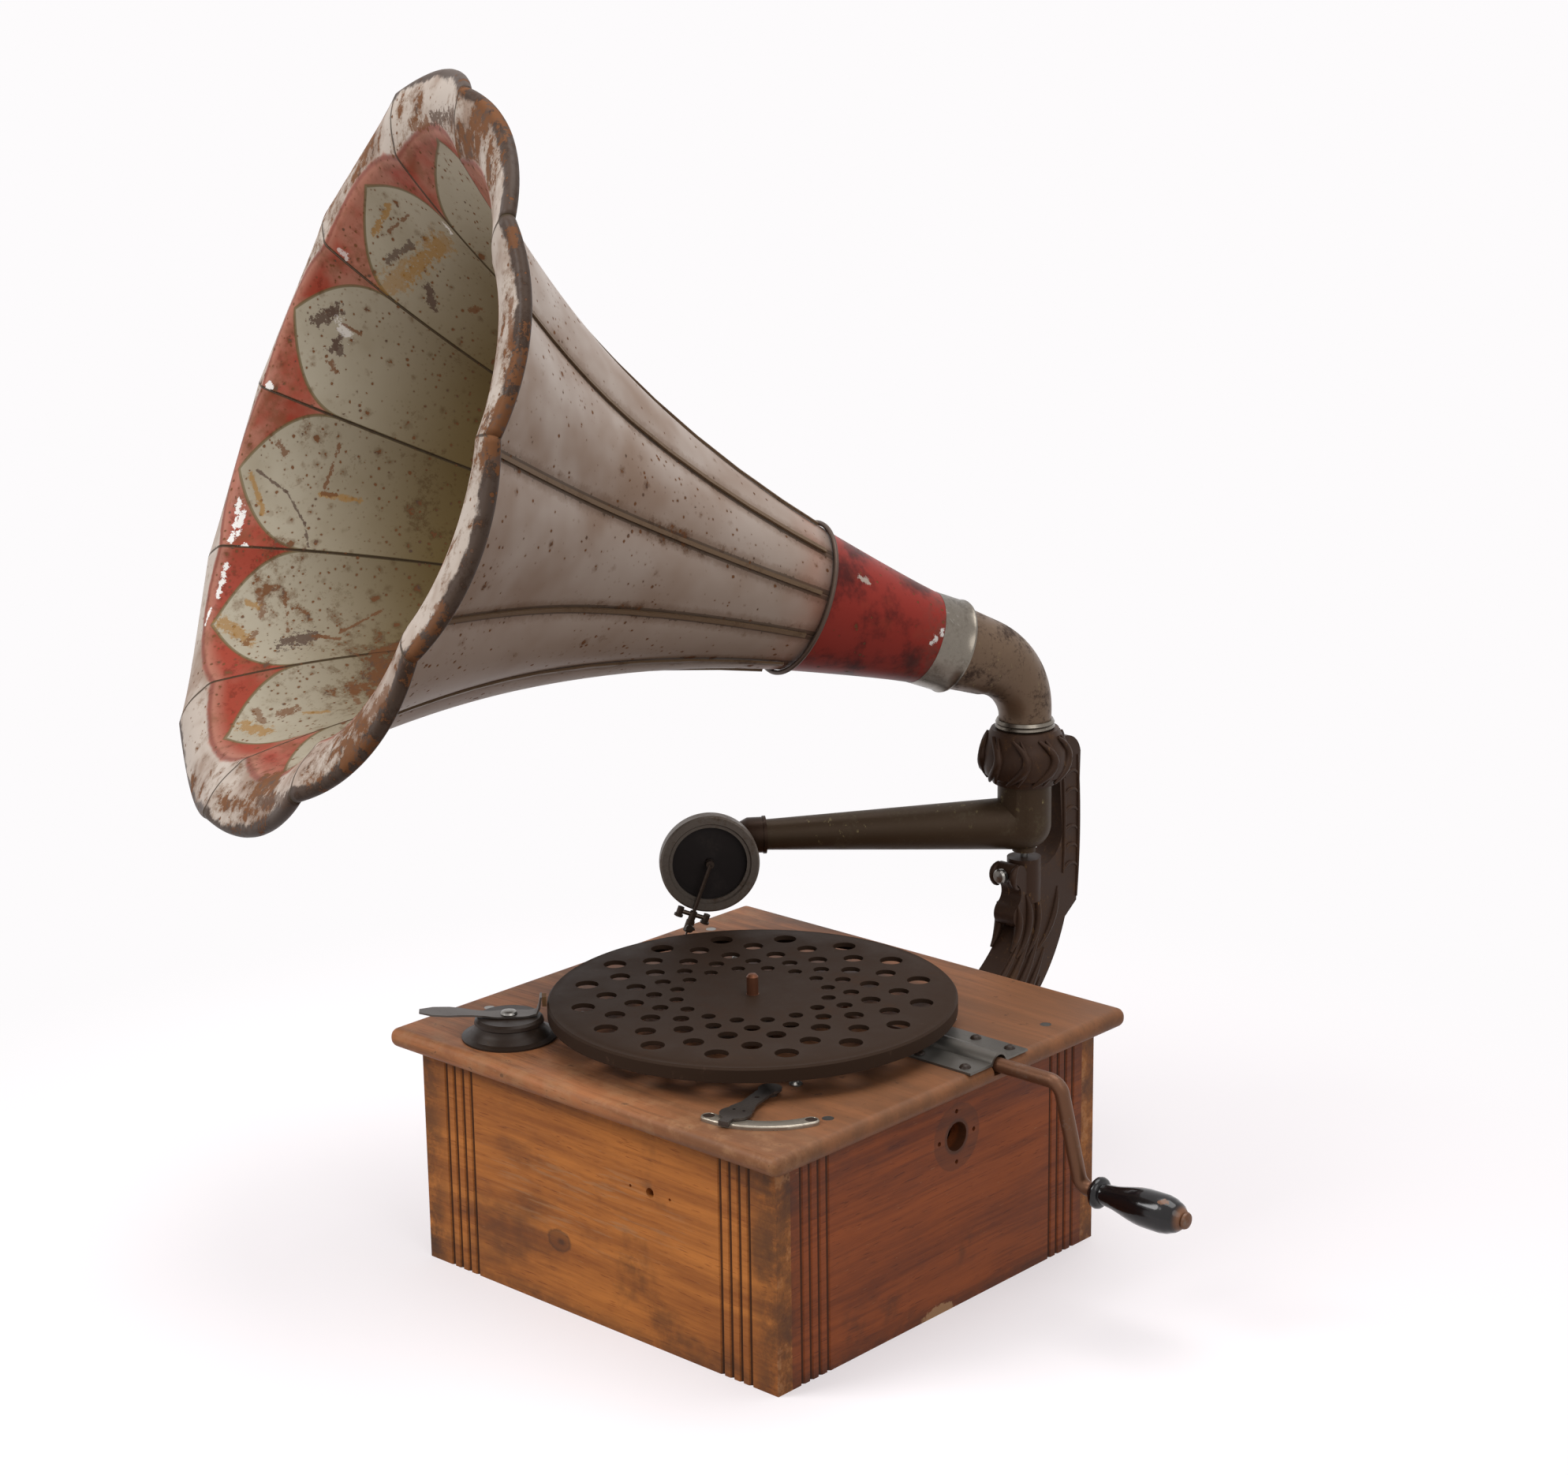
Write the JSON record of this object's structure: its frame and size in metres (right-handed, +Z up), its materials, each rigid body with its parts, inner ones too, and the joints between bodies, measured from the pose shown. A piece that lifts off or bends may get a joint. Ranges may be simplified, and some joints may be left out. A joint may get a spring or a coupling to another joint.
{
  "type": "horn gramophone",
  "caption": "Table gramophone with a flared petal horn, tone arm and soundbox, turntable, side crank and a spring motor in a wooden box.",
  "frame": {"origin": "centre of the cabinet's underside", "axes": "+Z up, +X towards the winding crank, -Y towards the front face, +Y towards the bracket behind"},
  "size_m": [0.6945, 0.5889, 0.7206],
  "materials": {
    "side_wood": "worn varnish",
    "top_wood": "worn varnish",
    "dark_steel": "browned",
    "spindle_bronze": "tarnished",
    "motor_steel": "satin",
    "motor_brass": "satin",
    "spring_steel": "blued",
    "crank_steel": "rubbed",
    "black_wood": "black lacquer",
    "nickel": "dull nickel plate",
    "lever_steel": "dark satin",
    "leather": "worn",
    "brown_iron": "brown lacquer",
    "brown_tube": "brown lacquer",
    "worn_alloy": "dull, pitted",
    "gasket_rubber": "matte",
    "dark_disc": "satin",
    "throat_red": "worn enamel",
    "horn_cream": "worn enamel",
    "horn_gold": "worn gold paint"
  },
  "bodies": {
    "cabinet": {"front_panel": "side_wood", "back_panel": "side_wood", "left_side_panel": "side_wood", "right_side_panel": "side_wood", "bottom_board": "side_wood", "corner_blocks": "side_wood", "top_board": "top_wood", "motor_upper_plate": "motor_steel", "motor_lower_plate": "motor_steel", "motor_pillars": "dark_steel", "motor_fasteners": "dark_steel", "governor_bearings": "motor_steel", "winding_plate": "crank_steel", "crank_bearings": "spindle_bronze", "speed_strip": "nickel", "brake_base": "lever_steel", "brake_pivot": "motor_steel", "back_bracket": "brown_iron", "pivot_pin": "motor_steel", "cabinet_screws": "dark_steel", "deck_screws": "dark_steel"},
    "turntable": {"turntable_platter": "dark_steel", "turntable_spindle": "spindle_bronze", "governor_wheel": "motor_brass"},
    "middle_gear": {"intermediate_pinion": "motor_brass", "intermediate_wheel": "motor_brass"},
    "spring_barrel": {"mainspring_barrel": "motor_brass", "barrel_cover": "motor_brass", "mainspring": "spring_steel"},
    "winding_arbor": {"barrel_arbor": "motor_steel", "winding_crown_wheel": "motor_steel"},
    "pawl": {"ratchet_pawl": "motor_steel"},
    "governor": {"governor_shaft": "motor_steel", "governor_disc": "motor_brass", "governor_springs": "motor_steel", "governor_weights": "motor_brass"},
    "crank": {"winding_crank": "crank_steel", "crank_pinion": "motor_steel"},
    "crank_grip": {"crank_handle": "black_wood"},
    "speed_control": {"speed_lever": "lever_steel"},
    "friction_control": {"friction_arm": "lever_steel"},
    "brake": {"brake_lever": "lever_steel", "brake_pad": "leather"},
    "lock_screw": {"pivot_lock_screw": "motor_steel"},
    "tone_arm": {"tone_arm": "brown_tube"},
    "soundbox": {"coupling_sleeve": "brown_tube", "soundbox_back": "worn_alloy", "soundbox_housing": "worn_alloy", "soundbox_front_ring": "worn_alloy", "soundbox_gaskets": "gasket_rubber", "soundbox_diaphragm": "dark_disc", "stylus_bar": "nickel", "needle": "motor_steel"},
    "needle_clamp": {"needle_screw": "nickel"},
    "horn": {"horn_elbow": "brown_tube", "nickel_rings": "nickel", "horn_throat": "throat_red", "throat_ring": "horn_gold", "horn_panels": "horn_cream", "horn_seams": "horn_gold"}
  },
  "joints": [
    {"name": "turntable_spin", "type": "hinge", "parent": "cabinet", "child": "turntable", "pos_m": [0.008, -0.014, 0.165], "axis": [0, 0, 1], "continuous": true},
    {"name": "middle_spin", "type": "hinge", "parent": "cabinet", "child": "middle_gear", "pos_m": [0.01124, 0.01593, 0.08], "axis": [0, 0, 1], "continuous": true},
    {"name": "barrel_spin", "type": "hinge", "parent": "cabinet", "child": "spring_barrel", "pos_m": [-0.034, 0.035, 0.1], "axis": [0, 0, 1], "continuous": true},
    {"name": "governor_spin", "type": "hinge", "parent": "cabinet", "child": "governor", "pos_m": [0.03, -0.0361, 0.102], "axis": [1, 0, 0], "continuous": true},
    {"name": "crank_turn", "type": "hinge", "parent": "cabinet", "child": "crank", "pos_m": [0.1, 0.035, 0.151], "axis": [1, 0, 0], "continuous": true},
    {"name": "arbor_spin", "type": "hinge", "parent": "cabinet", "child": "winding_arbor", "pos_m": [-0.034, 0.035, 0.12], "axis": [0, 0, 1], "continuous": true},
    {"name": "pawl_lift", "type": "hinge", "parent": "cabinet", "child": "pawl", "pos_m": [-0.0518, 0.047, 0.128], "axis": [0, 0, 1], "range_deg": [-25, 0]},
    {"name": "grip_spin", "type": "hinge", "parent": "crank", "child": "crank_grip", "pos_m": [0.25, 0.05242, 0.08114], "axis": [1, 0, 0], "continuous": true},
    {"name": "speed_lever_turn", "type": "hinge", "parent": "cabinet", "child": "speed_control", "pos_m": [0.092, -0.09, 0.155], "axis": [0, 0, 1], "range_deg": [-14, 50]},
    {"name": "friction_arm_turn", "type": "hinge", "parent": "cabinet", "child": "friction_control", "pos_m": [0.092, -0.09, 0.102], "axis": [0, 0, 1], "range_deg": [-3.5, 0.9]},
    {"name": "brake_turn", "type": "hinge", "parent": "cabinet", "child": "brake", "pos_m": [-0.094, -0.1216, 0.166], "axis": [0, 0, 1], "range_deg": [-30, 30]},
    {"name": "lock_screw_turn", "type": "hinge", "parent": "cabinet", "child": "lock_screw", "pos_m": [0, 0.2424, 0.1855], "axis": [0, 1, 0], "continuous": true},
    {"name": "arm_swing", "type": "hinge", "parent": "cabinet", "child": "tone_arm", "pos_m": [0, 0.2624, 0.217], "axis": [0, 0, 1], "range_deg": [-45, 6.5]},
    {"name": "soundbox_turn", "type": "hinge", "parent": "tone_arm", "child": "soundbox", "pos_m": [-0.11809, 0.12655, 0.217], "axis": [-0.6561, -0.7547, 0], "range_deg": [-10, 100]},
    {"name": "needle_screw_turn", "type": "hinge", "parent": "soundbox", "child": "needle_clamp", "pos_m": [-0.12695, 0.07002, 0.16484], "axis": [0.7547, -0.6561, 0], "continuous": true},
    {"name": "horn_swivel", "type": "hinge", "parent": "cabinet", "child": "horn", "pos_m": [0, 0.2624, 0.29], "axis": [0, 0, 1], "range_deg": [-80, 80]}
  ],
  "couplings": [
    {"joint": "middle_spin", "follows": "turntable_spin", "ratio": -0.25},
    {"joint": "barrel_spin", "follows": "turntable_spin", "ratio": 0.041667},
    {"joint": "governor_spin", "follows": "turntable_spin", "ratio": -10},
    {"joint": "arbor_spin", "follows": "crank_turn", "ratio": 0.42857},
    {"joint": "friction_arm_turn", "follows": "speed_lever_turn", "ratio": -0.06}
  ]
}
